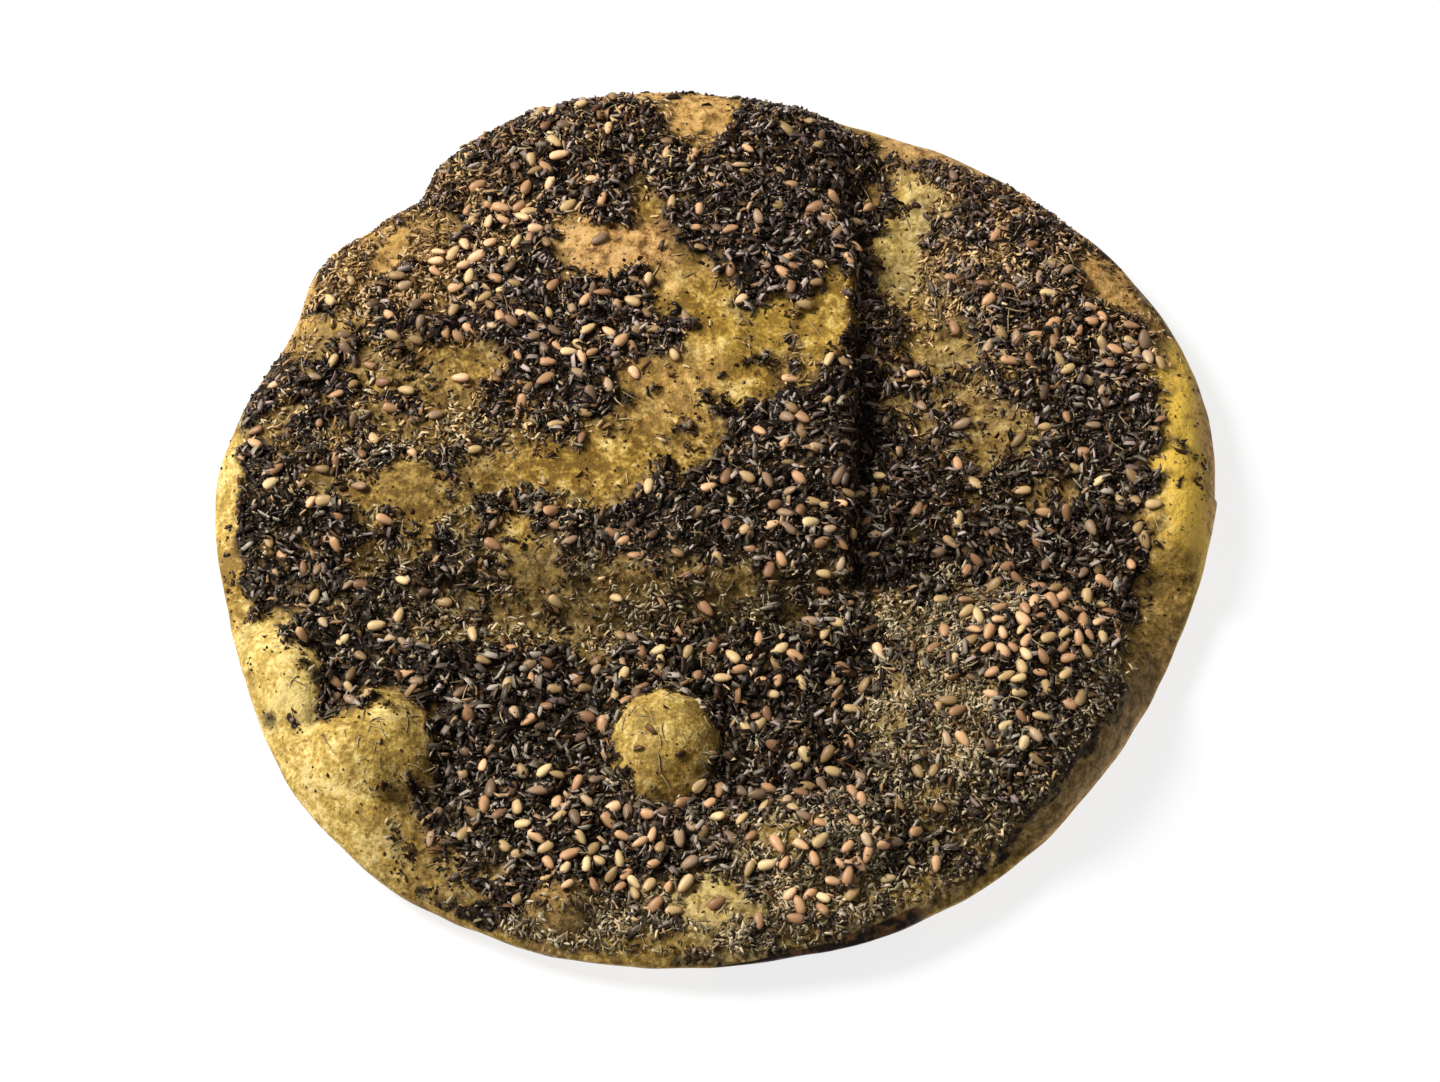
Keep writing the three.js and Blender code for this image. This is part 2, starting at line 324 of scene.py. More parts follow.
def on_dome_flank(x, y):
    """How far a place lies on the left slope of the dome, from 0 to 1."""
    past_slope = ramp(x + uneven(x, y, DOME_FLANK_RAGGED), DOME_FLANK_FROM, DOME_FLANK_TO)
    return on_blister(x, y, DOME, DOME_FOOT) * (1 - past_slope)


def bareness(x, y, softness):
    """How bare of herb a place is, from 0 to 1: the patches, the round blister and the dome's slope."""
    on_round = ROUND_BARE * on_blister(x, y, ROUND_BLISTER, ROUND_FOOT)
    bare = np.maximum(patchiness(x, y, BARE_PATCHES, softness), on_round)
    return np.maximum(bare, DOME_BARE * on_dome_flank(x, y))


def topping_cover(x, y, softness=PATCH_SOFTNESS):
    """How thickly the herb lies at a place, from 0 to 1. Where it is thin it lies in clumps."""
    thin = bareness(x, y, softness)
    clumps = uneven(x, y, THIN_HERB_CLUMPS)
    return ramp(1 - thin + 4 * thin * (1 - thin) * clumps, COVER_FROM, COVER_TO)


# Shares of the way from the middle of the top, over the rim at 1, to the middle of the base at 2
TOP_SHARE = 0.84
BASE_SHARE = 1.5
GRID_CELLS = 288
TUCK_RINGS = 6
BASE_RINGS = 3
RIM_BARE_FROM, RIM_BARE_OVER, RIM_BARE_RAGGED = 0.92, 0.05, [(3, 19, 0.03)]
# Where the herb reaches further over the rim, or less far: direction in degrees, spread, how much further
RIM_REACHES = [(320, 24, -0.05), (263, 16, 0.06), (182, 14, 0.025), (114, 15, 0.04)]
TOPPING_THICKNESS = 0.5
CRUMB_RELIEF = [(8, 11, 0.45), (3.1, 12, 0.45), (1.5, 13, 0.5)]
DOUGH_RELIEF = [(9, 14, 0.3), (3.4, 15, 0.3), (1.5, 16, 0.1)]
# Wrinkles are laid out round the rim in degrees, and over it in steps of a twentieth of the way
RIM_WRINKLES = [(8, 17, 0.35), (3, 18, 0.15)]
RIM_WRINKLES_FROM, RIM_WRINKLE_STEPS = 0.8, 20


def herb_reach(direction):
    return sum(further * bell(direction, at, spread) for at, spread, further in RIM_REACHES)


def pressed(direction, share):
    """The dough's points, and how thickly the topping covers them."""
    wrinkles = uneven(direction, share * RIM_WRINKLE_STEPS, RIM_WRINKLES)
    edge = edge_radius(direction) + wrinkles * ramp(share, RIM_WRINKLES_FROM, 1)
    lifted = bell(direction, LIFTED_RIM_AT, LIFTED_RIM_SPREAD)
    steep = bell(direction, STEEP_RIM_AT, STEEP_RIM_SPREAD)
    shoulder = SHOULDER - STEEP_RIM_LESS * steep
    widest = WIDEST_HEIGHT + LIFTED_RIM_HIGHER * lifted
    tuck = TUCK + LIFTED_RIM_TUCK * lifted
    over = np.clip((share - TOP_SHARE) / (1 - TOP_SHARE), 0, 1)
    under = np.clip((share - 1) / (BASE_SHARE - 1), 0, 1)
    roll = np.pi / 2 * (1 - over - under)
    inset = np.where(roll > 0, shoulder, tuck) * (1 - np.cos(roll))
    along_top = np.minimum(share / TOP_SHARE, 1)
    along_base = np.minimum((2 - share) / (2 - BASE_SHARE), 1)
    radius = (edge - inset) * along_top * along_base
    x = ROUND_MIDDLE_X + radius * np.cos(np.radians(direction))
    y = radius * np.sin(np.radians(direction))
    bare_from = RIM_BARE_FROM + herb_reach(direction) + uneven(x, y, RIM_BARE_RAGGED)
    cover = topping_cover(x, y) * (1 - ramp(share - bare_from, 0, RIM_BARE_OVER))
    crust = cover * (TOPPING_THICKNESS + uneven(x, y, CRUMB_RELIEF))
    top = dough_height(x, y) + crust + (1 - cover) * uneven(x, y, DOUGH_RELIEF)
    upper = widest + (top - widest) * np.sin(roll)
    lower = widest * (1 + np.sin(roll))
    return np.stack([x, y, np.where(roll > 0, upper, lower)], 1), cover


round_bm = bmesh.new()
bmesh.ops.create_grid(round_bm, x_segments=GRID_CELLS, y_segments=GRID_CELLS, size=1)
for v in round_bm.verts:
    u, w, _ = v.co
    v.co = (u * math.sqrt(1 - w * w / 2), w * math.sqrt(1 - u * u / 2), 0)
ring = [e for e in round_bm.edges if e.is_boundary]
share = 1
tuck_step = (BASE_SHARE - 1) / TUCK_RINGS
base_step = (2 - BASE_SHARE) / (BASE_RINGS + 1)
for step in [tuck_step] * TUCK_RINGS + [base_step] * BASE_RINGS:
    new = bmesh.ops.extrude_edge_only(round_bm, edges=ring)["geom"]
    ring = [g for g in new if isinstance(g, bmesh.types.BMEdge)]
    ring_verts = [g for g in new if isinstance(g, bmesh.types.BMVert)]
    wider = (share + step) / share
    bmesh.ops.scale(round_bm, vec=(wider, wider, 1), verts=ring_verts)
    share += step
bmesh.ops.contextual_create(round_bm, geom=ring)

laid = np.array([v.co for v in round_bm.verts])
direction = np.degrees(np.arctan2(laid[:, 1], laid[:, 0])) % 360
share = np.hypot(laid[:, 0], laid[:, 1])
points, cover = pressed(direction, share)
for v, point in zip(round_bm.verts, points * MM):
    v.co = point
bmesh.ops.recalc_face_normals(round_bm, faces=round_bm.faces)
for f in round_bm.faces:
    f.smooth = True
bread_surface = BVHTree.FromBMesh(round_bm)
bread_mesh = bpy.data.meshes.new("flatbread_dough")
round_bm.to_mesh(bread_mesh)
round_bm.free()
bread = bpy.data.objects.new("flatbread_dough", bread_mesh)
bpy.context.scene.collection.objects.link(bread)

# Where the rim is toasted or golden, on the right partly as painted light, and where a painted shadow
# blackens the lower edge of the lifted front rim: directions and spreads in degrees, and how strongly.
# Over the rim and under it, each runs between two shares of the way.
TONE_SOFTNESS, STAIN_REACH = 0.6, 0.8
RIM_TOAST, RIM_TOAST_FROM, RIM_TOAST_TO = 0.4, 0.97, 1.02
BACK_RIM_AT, BACK_RIM_SPREAD = 105, 42
BACK_TOAST, BACK_TOAST_FROM, BACK_TOAST_TO = 0.8, 0.93, 0.99
GOLD_RIM_AT, GOLD_RIM_SPREAD = 60, 55
RIM_GOLD_AND_LIGHT, RIM_GOLD_FROM, RIM_GOLD_TO = 0.6, 0.9, 0.95
RIM_SHADOW_FROM, RIM_SHADOW_TO, RIM_SHADOW_FADE = 265, 297, 9
RIM_SHADOW_SHARE, RIM_SHADOW_CLIMB, RIM_SHADOW_OVER = 0.98, 0.08, 0.02
OLIVE_FLANK = 0.8
UNDER_FROM, UNDER_TO = 1.2, 1.45
dough_x, dough_y = points[:, 0], points[:, 1]
off_base = share < BASE_SHARE
underneath = ramp(share, UNDER_FROM, UNDER_TO)
rim_toast = RIM_TOAST * ramp(share, RIM_TOAST_FROM, RIM_TOAST_TO)
back_toast = BACK_TOAST * bell(direction, BACK_RIM_AT, BACK_RIM_SPREAD)
back_toast *= ramp(share, BACK_TOAST_FROM, BACK_TOAST_TO)
rim_toast = np.maximum(rim_toast, back_toast) * off_base
# Golden rim at the right and back, partly painted light on the right
rim_gold_and_light = RIM_GOLD_AND_LIGHT * bell(direction, GOLD_RIM_AT, GOLD_RIM_SPREAD)
rim_gold_and_light *= ramp(share, RIM_GOLD_FROM, RIM_GOLD_TO) * (1 - ramp(share, 1, UNDER_FROM))
# Painted shadow: a black band along the lower edge of the lifted front rim, standing in for the shadow
# under it
rim_shadow_from = RIM_SHADOW_SHARE - RIM_SHADOW_CLIMB * ramp(direction, RIM_SHADOW_FROM, RIM_SHADOW_TO)
painted_rim_shadow = ramp(share - rim_shadow_from, 0, RIM_SHADOW_OVER) * (1 - underneath)
painted_rim_shadow *= ramp(direction - RIM_SHADOW_FROM, 0, RIM_SHADOW_FADE)
painted_rim_shadow *= ramp(RIM_SHADOW_TO - direction, 0, RIM_SHADOW_FADE)
soaked_and_shaded = patchiness(dough_x, dough_y, SOAKED_AND_SHADED_PATCHES, TONE_SOFTNESS)
stained_and_shaded = np.maximum(1 - bareness(dough_x, dough_y, STAIN_REACH), soaked_and_shaded)
olive = patchiness(dough_x, dough_y, OLIVE_PATCHES)
olive = np.maximum(olive, OLIVE_FLANK * on_dome_flank(dough_x, dough_y))
tones = {
    "cover": cover,
    "stained_and_shaded": stained_and_shaded * (1 - ramp(share, RIM_BARE_FROM, 1)),
    "pale": patchiness(dough_x, dough_y, PALE_PATCHES, TONE_SOFTNESS),
    "golden": np.maximum(patchiness(dough_x, dough_y, GOLDEN_AND_LIT_PATCHES), rim_gold_and_light),
    "toasted": np.maximum(patchiness(dough_x, dough_y, TOASTED_PATCHES), rim_toast),
    "olive": olive * (share < UNDER_FROM),
    "painted_rim_shadow": painted_rim_shadow,
    "base": underneath,
}
for name, values in tones.items():
    layer = bread_mesh.attributes.new(name, "FLOAT", "POINT")
    layer.data.foreach_set("value", values.astype(np.float32))


class Finish:
    """A material's node tree, with one line for each node."""

    def __init__(self, name):
        self.material = bpy.data.materials.new(name)
        self.material.use_nodes = True
        self.nodes = self.material.node_tree.nodes
        self.links = self.material.node_tree.links
        self.shader = self.nodes["Principled BSDF"]
        self.place = self.nodes.new("ShaderNodeTexCoord").outputs["Object"]

    def set(self, socket, value):
        if isinstance(value, bpy.types.NodeSocket):
            self.links.new(value, socket)
        else:
            socket.default_value = value

    def attribute(self, name):
        node = self.nodes.new("ShaderNodeAttribute")
        node.attribute_name = name
        return node.outputs["Fac"]

    def noise(self, spot, detail=2.0, rough=0.6, warp=0.0):
        node = self.nodes.new("ShaderNodeTexNoise")
        self.set(node.inputs["Vector"], self.place)
        self.set(node.inputs["Scale"], 1 / (spot * MM))
        self.set(node.inputs["Detail"], detail)
        self.set(node.inputs["Roughness"], rough)
        self.set(node.inputs["Distortion"], warp)
        return node.outputs["Fac"]

    def cells(self, spot):
        node = self.nodes.new("ShaderNodeTexVoronoi")
        self.set(node.inputs["Vector"], self.place)
        self.set(node.inputs["Scale"], 1 / (spot * MM))
        return node.outputs["Color"]

    def math(self, operation, first, second=0.0, third=0.0):
        node = self.nodes.new("ShaderNodeMath")
        node.operation = operation
        for socket, value in zip(node.inputs, (first, second, third)):
            self.set(socket, value)
        return node.outputs[0]

    def weighted(self, *parts):
        total = 0.0
        for share, value in parts:
            total = self.math("MULTIPLY_ADD", value, share, total)
        return total

    def between(self, value, low, high, to_low=0.0, to_high=1.0):
        node = self.nodes.new("ShaderNodeMapRange")
        node.interpolation_type = "SMOOTHSTEP"
        for name, number in (
            ("Value", value),
            ("From Min", low),
            ("From Max", high),
            ("To Min", to_low),
            ("To Max", to_high),
        ):
            self.set(node.inputs[name], number)
        return node.outputs[0]

    def mix(self, share, first, second):
        """A mix of two colours, whose sockets on the node are numbers 6 and 7, with 2 for the result."""
        node = self.nodes.new("ShaderNodeMix")
        node.data_type = "RGBA"
        for socket, value in zip((node.inputs[0], node.inputs[6], node.inputs[7]), (share, first, second)):
            self.set(socket, (*value, 1) if isinstance(value, tuple) else value)
        return node.outputs[2]

    def colours(self, value, stops):
        node = self.nodes.new("ShaderNodeValToRGB")
        elements = node.color_ramp.elements
        elements[0].position, elements[0].color = stops[0][0], (*stops[0][1], 1)
        elements[1].position, elements[1].color = stops[-1][0], (*stops[-1][1], 1)
        for at, colour in stops[1:-1]:
            elements.new(at).color = (*colour, 1)
        self.set(node.inputs[0], value)
        return node.outputs[0]

    def bump(self, height, depth, strength=1.0):
        node = self.nodes.new("ShaderNodeBump")
        self.set(node.inputs["Height"], height)
        self.set(node.inputs["Distance"], depth * MM)
        self.set(node.inputs["Strength"], strength)
        return node.outputs["Normal"]

    def dress(self, piece, colour, roughness, sheen):
        self.set(self.shader.inputs["Base Color"], colour)
        self.set(self.shader.inputs["Roughness"], roughness)
        self.set(self.shader.inputs["Specular IOR Level"], sheen)
        piece.data.materials.append(self.material)


PALE_DOUGH = (0.85, 0.65, 0.255)
GOLD_DOUGH = (0.46, 0.28, 0.050)
DEEP_DOUGH = (0.18, 0.098, 0.015)
GOLDEN_AND_LIT_DOUGH = (0.84, 0.53, 0.075)
LEMON_DOUGH = (0.64, 0.48, 0.14)
TAN_DOUGH = (0.72, 0.44, 0.175)
TOASTED_DOUGH = (0.52, 0.29, 0.09)
BROWNED_DOUGH = (0.17, 0.078, 0.02)
OLIVE_CREAM = (0.52, 0.385, 0.175)
OLIVE_DOUGH = (0.19, 0.124, 0.038)
OLIVE_DARK = (0.040, 0.024, 0.007)
STAIN_AND_SHADE_GOLD = (0.30, 0.185, 0.050)
STAIN_AND_SHADE_BROWN = (0.130, 0.072, 0.018)
STAIN_AND_SHADE_DARK = (0.045, 0.024, 0.006)
SPECK_BROWN = (0.06, 0.032, 0.008)
BASE_DOUGH = (0.50, 0.36, 0.18)
RIM_SHADOW_BLACK = (0.012, 0.008, 0.005)
BURNT_AND_SHADOW_BROWN = (0.16, 0.07, 0.025)
BED_BLACK_AND_SHADE = (0.005, 0.002, 0.0006)
BED_BROWN = (0.030, 0.016, 0.006)
BED_GOLD = (0.12, 0.070, 0.020)
# Sizes of the spots of colour in millimetres
BLOTCH, MOTTLE, CURD, TOAST_SPOT = 7, 1.7, 0.6, 1.8
HERB_GRAIN, OLIVE_SPOT, SPECK, BASE_BLOTCH = 0.75, 3, 0.8, 13
LEMON_SHARE, GOLDEN_AND_LIT_SHARE, STAIN_SHARE, SPECK_SHARE = 0.35, 0.9, 0.85, 0.75
OLIVE_LEAST, OLIVE_MOST = 0.25, 0.9
DRY_ROUGHNESS, OILY_ROUGHNESS, DOUGH_SHEEN = 0.7, 0.5, 0.12
SKIN_DEPTH, SKIN_STRENGTH = 0.7, 0.8

dough = Finish("baked_dough")
cover_share = dough.attribute("cover")
blotches = dough.noise(BLOTCH, detail=3)
mottling = dough.noise(MOTTLE, detail=3)
curds = dough.noise(CURD, rough=0.5)
pale_share = dough.attribute("pale")
dough_tone = dough.weighted((0.44, blotches), (0.32, mottling), (0.24, curds), (0.06, pale_share))
dough_colour = dough.colours(dough_tone, [(0.455, DEEP_DOUGH), (0.53, GOLD_DOUGH), (0.61, PALE_DOUGH)])
lemon_share = dough.math("MULTIPLY", pale_share, LEMON_SHARE)
dough_colour = dough.mix(lemon_share, dough_colour, LEMON_DOUGH)
# Golden crust, partly painted light on the right rim
golden_and_lit_share = dough.math("MULTIPLY", dough.attribute("golden"), GOLDEN_AND_LIT_SHARE)
dough_colour = dough.mix(golden_and_lit_share, dough_colour, GOLDEN_AND_LIT_DOUGH)
toast_spots = dough.noise(TOAST_SPOT, detail=4, rough=0.7)
toast_colour = dough.colours(toast_spots, [(0.38, BROWNED_DOUGH), (0.5, TOASTED_DOUGH), (0.64, TAN_DOUGH)])
dough_colour = dough.mix(dough.attribute("toasted"), dough_colour, toast_colour)
skin = dough.weighted((0.7, mottling), (0.3, curds))
# The herb oil's stain and the painted shade, from dark to gold
stain_and_shade_colour = dough.colours(skin, [(0.4, STAIN_AND_SHADE_DARK), (0.5, STAIN_AND_SHADE_BROWN), (0.62, STAIN_AND_SHADE_GOLD)])
near_herb_and_shade = dough.weighted((0.8, dough.attribute("stained_and_shaded")), (0.4, cover_share), (0.9, blotches))
stain_and_shade_share = dough.between(near_herb_and_shade, 0.52, 1.05, to_high=STAIN_SHARE)
dough_colour = dough.mix(stain_and_shade_share, dough_colour, stain_and_shade_colour)
grains = dough.cells(HERB_GRAIN)
olive_colour = dough.colours(grains, [(0.25, OLIVE_DARK), (0.5, OLIVE_DOUGH), (0.85, OLIVE_CREAM)])
olive_spots = dough.between(dough.noise(OLIVE_SPOT), 0.36, 0.56, OLIVE_LEAST, OLIVE_MOST)
olive_share = dough.math("MULTIPLY", dough.attribute("olive"), olive_spots)
dough_colour = dough.mix(olive_share, dough_colour, olive_colour)
specks = dough.between(dough.noise(SPECK, warp=0.5), 0.61, 0.7, to_high=SPECK_SHARE)
dough_colour = dough.mix(specks, dough_colour, SPECK_BROWN)
base_blotches = dough.noise(BASE_BLOTCH, detail=5)
base_colour = dough.colours(base_blotches, [(0.42, BASE_DOUGH), (0.55, TOASTED_DOUGH), (0.68, BURNT_AND_SHADOW_BROWN)])
dough_colour = dough.mix(dough.attribute("base"), dough_colour, base_colour)
# The herb's bed of dark oily paste, near black as painted shade in the gaps between the leaves
bed_colour = dough.colours(grains, [(0.45, BED_BLACK_AND_SHADE), (0.7, BED_BROWN), (0.9, BED_GOLD)])
bed_colour = dough.mix(olive_share, bed_colour, olive_colour)
bed_share = dough.between(dough.weighted((1.0, cover_share), (0.9, curds)), 0.95, 1.3)
bread_colour = dough.mix(bed_share, dough_colour, bed_colour)
# The painted shadow under the lifted rim, black with dark brown spots; the brown is also the burnt spots of
# the underside
rim_shadow_colour = dough.colours(mottling, [(0.45, RIM_SHADOW_BLACK), (0.7, BURNT_AND_SHADOW_BROWN)])
ragged_rim_shadow = dough.weighted((1.0, dough.attribute("painted_rim_shadow")), (0.5, blotches), (0.7, mottling))
bread_colour = dough.mix(dough.between(ragged_rim_shadow, 0.8, 1.2), bread_colour, rim_shadow_colour)
dough_roughness = dough.between(mottling, 0.35, 0.65, DRY_ROUGHNESS, OILY_ROUGHNESS)
dough.set(dough.shader.inputs["Normal"], dough.bump(skin, SKIN_DEPTH, SKIN_STRENGTH))
dough.dress(bread, bread_colour, dough_roughness, DOUGH_SHEEN)
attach(bread, "root")
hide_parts("flatbread")

# The sesame: hulled seeds, flat teardrops toasted from cream to brown, scattered with the herb.
# They lie in the crust, some half buried, and are thickest and palest where the topping was heaped.
SEED_LENGTH, SEED_WIDTH, SEED_THICKNESS = 3.0, 1.9, 1.05
SEED_TAPER, SEED_PLUMP = 0.46, 1.2
SEED_SUNK_LEAST, SEED_SUNK_MOST, HEAPED_SUNK_LESS = -0.15, 0.4, 0.4
SEED_COUNT, SEED_TRIES, SEED_DRAW = 630, 6000, 47
SEED_GAP, SEED_RIM_GAP, SEED_TILT = 1.9, 5, 0.22
SEED_SIZES, SEED_SHAPES = (0.74, 1.06), (0.9, 1.1)
# The first seeds lie on a spiral, like those of the solid, where the topping is thick enough
SPIRAL_PLACES, SPIRAL_FROM_EDGE, SPIRAL_COVER = 172, 8, 0.5
GOLDEN_ANGLE = 180 * (3 - math.sqrt(5))
# Columns of tints in the UV map of the grains, and the margins that a grain keeps inside its column
TINT_STEPS, LARGEST_TINT = 60, 0.999
TINT_MARGIN, LENGTH_MARGIN, STOP_MARGIN = 0.1, 0.02, 0.001
# Places are drawn from a square field, some for each grain, and seen from above the dough
FIELD, TRIES_EACH, LOOK_DOWN_FROM = 80, 4, 50
RIM_GAP_MORE = 40
# Where seeds lie thick, and where few fell: x, y, half lengths along and across, turn, how far
SEED_HEAPS = [
    (46, -25.5, 11, 10.5, 0, 0.9),
    (47, -38, 9, 9, 0, 0.65),
    (14.5, -62, 9.5, 7.5, 0, 1.0),
    (-12, -62, 12, 6, 0, 0.45),
    (-24, -55, 8, 7, 0, 0.35),
    (-38.5, 41, 13, 5, 28, 0.8),
    (-27, 56, 7, 9, 0, 0.35),
    (0, -30, 14, 5, 10, 0.22),
    (3, -54, 13, 5, 0, 0.35),
    (10, -8, 12, 8, 0, 0.26),
    (-28, 22, 18, 14, 0, 0.2),
    (58, 28, 12, 9, -50, 0.28),
]
SEED_SPARSE = [
    (29, 10, 8, 42, 0, 0.9),
    (-14, -20, 32, 5, 0, 0.8),
    (60, -36, 24, 6, 57, 0.8),
    (24, -26, 13, 7, -40, 0.4),
    (44, 20, 20, 36, 0, 0.4),
    (8, 56, 17, 15, 0, 0.6),
    (-18, 61, 26, 8, 12, 0.5),
    (-36, -30, 9, 7, 0, 0.6),
    (-2, -9, 8, 6, 0, 0.5),
]
SEEDS_OFF_HEAPS, SEEDS_OFF_HERB = 0.08, 0.05
SEEDS_ON_BARE_HEAPS, SEEDS_OFF_FLANK, SEED_COVER_POWER = 0.7, 0.4, 1.5


def surface_at(x, y):
    """Point and normal of the bread under each place, in millimetres."""
    points, normals = [], []
    for place_x, place_y in zip(x, y):
        above = Vector((place_x, place_y, LOOK_DOWN_FROM)) * MM
        point, normal, _, _ = bread_surface.ray_cast(above, Vector((0, 0, -1)))
        points.append(point / MM)
        normals.append(normal)
    return np.array(points), np.array(normals)


def unit(vectors):
    return vectors / np.linalg.norm(vectors, axis=-1, keepdims=True)


def ball_along_y(around, along):
    """A ball one millimetre wide, of few faces, with its poles on the Y axis."""
    bm = bmesh.new()
    bmesh.ops.create_uvsphere(bm, u_segments=around, v_segments=along, radius=0.5)
    bmesh.ops.rotate(bm, verts=bm.verts, matrix=Matrix.Rotation(math.radians(-90), 3, "X"))
    return bm


def strewn(name, grain, points, normals, spins, sizes, tints, smooth):
    """One mesh of many copies of a grain that lies along its Y axis, each on its own normal.
    The UV map holds a column for each tint, with the grain's length along V."""
    bmesh.ops.triangulate(grain, faces=grain.faces)
    shape = np.array([v.co for v in grain.verts])
    faces = np.array([[v.index for v in f.verts] for f in grain.faces])
    grain.free()
    low, high = shape.min(0), shape.max(0)
    across = np.stack([-np.sin(spins), np.cos(spins), np.zeros_like(spins)], 1)
    up = unit(normals)
    side = unit(np.cross(across, up))
    along = np.cross(up, side)
    turned = np.stack([side, along, up], 1)
    corners = np.einsum("vk,nk,nkj->nvj", shape, sizes, turned) + points[:, None, :]
    mesh = bpy.data.meshes.new(name)
    order = np.arange(len(points))[:, None, None] * len(shape) + faces
    mesh.from_pydata((corners.reshape(-1, 3) * MM).tolist(), [], order.reshape(-1, 3).tolist())
    column = np.floor(np.clip(tints, 0, LARGEST_TINT) * TINT_STEPS)[:, None]
    inside = (shape - low) / (high - low)
    u = (column + TINT_MARGIN + (1 - 2 * TINT_MARGIN) * inside[None, :, 0]) / TINT_STEPS
    v = np.broadcast_to(LENGTH_MARGIN + (1 - 2 * LENGTH_MARGIN) * inside[None, :, 1], u.shape)
    uv = np.stack([u, v], 2)[:, faces.reshape(-1), :]
    layer = mesh.uv_layers.new(name="OFBake")
    layer.data.foreach_set("uv", uv.reshape(-1).astype(np.float32))
    mesh.polygons.foreach_set("use_smooth", np.full(len(mesh.polygons), smooth))
    piece = bpy.data.objects.new(name, mesh)
    bpy.context.scene.collection.objects.link(piece)
    return piece


def tint_and_length(finish):
    node = finish.nodes.new("ShaderNodeUVMap")
    node.uv_map = "OFBake"
    split = finish.nodes.new("ShaderNodeSeparateXYZ")
    finish.links.new(node.outputs["UV"], split.inputs[0])
    return split.outputs["X"], split.outputs["Y"]


def tints_of(kinds, tones, kind_count):
    """Tints of several kinds of grain, each with its own equal part of the tint range."""
    return (kinds + np.clip(tones, 0, LARGEST_TINT)) / kind_count


def tint_stops(*kinds):
    """Ramp stops for the colours of each kind, from its darkest to its palest."""
    part = 1 / len(kinds)
    spread = np.linspace(STOP_MARGIN, part - STOP_MARGIN, len(kinds[0]))
    return [(part * i + at, colour) for i, kind in enumerate(kinds) for at, colour in zip(spread, kind)]


def rim_gap(x, y):
    """Distance of a place from the bread's edge, more where the herb reaches further over the rim."""
    direction = np.degrees(np.arctan2(y, x - ROUND_MIDDLE_X)) % 360
    gap = edge_radius(direction) - np.hypot(x - ROUND_MIDDLE_X, y)
    return np.minimum(2 * gap, gap + RIM_GAP_MORE * herb_reach(direction))


def places_by(rng, count, likelihood, least_gap):
    """Random places on the bread, off its edge, as likely as a function of x and y says."""
    found = np.zeros((0, 2))
    while len(found) < count:
        x, y = rng.uniform(-FIELD, FIELD, (2, TRIES_EACH * count))
        taken = (rim_gap(x, y) > least_gap) & (rng.random(len(x)) < likelihood(x, y))
        found = np.concatenate([found, np.stack([x[taken], y[taken]], 1)])
    return found[:count].T


def tilted(rng, normals, most):
    return unit(normals + rng.normal(0, most, normals.shape))


def spun(rng, count):
    return rng.uniform(0, 2 * np.pi, count)


def sized(rng, count, sizes, shapes):
    """Sizes of grains, each drawn as a whole and then along each of its own axes."""
    return rng.uniform(*sizes, (count, 1)) * rng.uniform(*shapes, (count, 3))


def at_least(least, share):
    """A share from 0 to 1, raised to run from a least value to 1."""
    return least + (1 - least) * share


def seed_likelihood(x, y):
    heaps = patchiness(x, y, SEED_HEAPS)
    in_herb = np.maximum(topping_cover(x, y) ** SEED_COVER_POWER, SEEDS_ON_BARE_HEAPS * heaps)
    thick = at_least(SEEDS_OFF_HEAPS, heaps) * at_least(SEEDS_OFF_HERB, in_herb)
    return thick * (1 - patchiness(x, y, SEED_SPARSE)) * (1 - SEEDS_OFF_FLANK * on_dome_flank(x, y))


seed = ball_along_y(around=8, along=6)
for v in seed.verts:
    narrow = (1 - SEED_TAPER * (v.co.y + 0.5)) * SEED_PLUMP
    v.co = (
        v.co.x * SEED_WIDTH * narrow,
        v.co.y * SEED_LENGTH,
        v.co.z * SEED_THICKNESS * narrow,
    )
rng = np.random.default_rng(SEED_DRAW)
spiral = np.arange(SPIRAL_PLACES)
spiral_direction = spiral * GOLDEN_ANGLE % 360
spiral_reach = edge_radius(spiral_direction) - SPIRAL_FROM_EDGE
spiral_reach *= np.sqrt((spiral + 0.5) / SPIRAL_PLACES)
spiral_x = ROUND_MIDDLE_X + spiral_reach * np.cos(np.radians(spiral_direction))
spiral_y = spiral_reach * np.sin(np.radians(spiral_direction))
on_topping = topping_cover(spiral_x, spiral_y) > SPIRAL_COVER
seed_places = list(zip(spiral_x[on_topping], spiral_y[on_topping]))
more_x, more_y = places_by(rng, SEED_TRIES, seed_likelihood, SEED_RIM_GAP)
for place in zip(more_x, more_y):
    if len(seed_places) == SEED_COUNT:
        break
    apart = np.hypot(*(np.array(seed_places) - place).T)
    if apart.min() > SEED_GAP:
        seed_places.append(place)
seed_x, seed_y = np.array(seed_places).T
seed_points, seed_normals = surface_at(seed_x, seed_y)
# A seed lies halfway between level and the slope of the crust under it
seed_normals = unit(seed_normals + np.array([0, 0, 1.0]))
heaped = patchiness(seed_x, seed_y, SEED_HEAPS)
seed_sunk = rng.uniform(SEED_SUNK_LEAST, SEED_SUNK_MOST, len(seed_x)) - HEAPED_SUNK_LESS * heaped
seed_points += seed_normals * (SEED_THICKNESS * (0.5 - seed_sunk))[:, None]
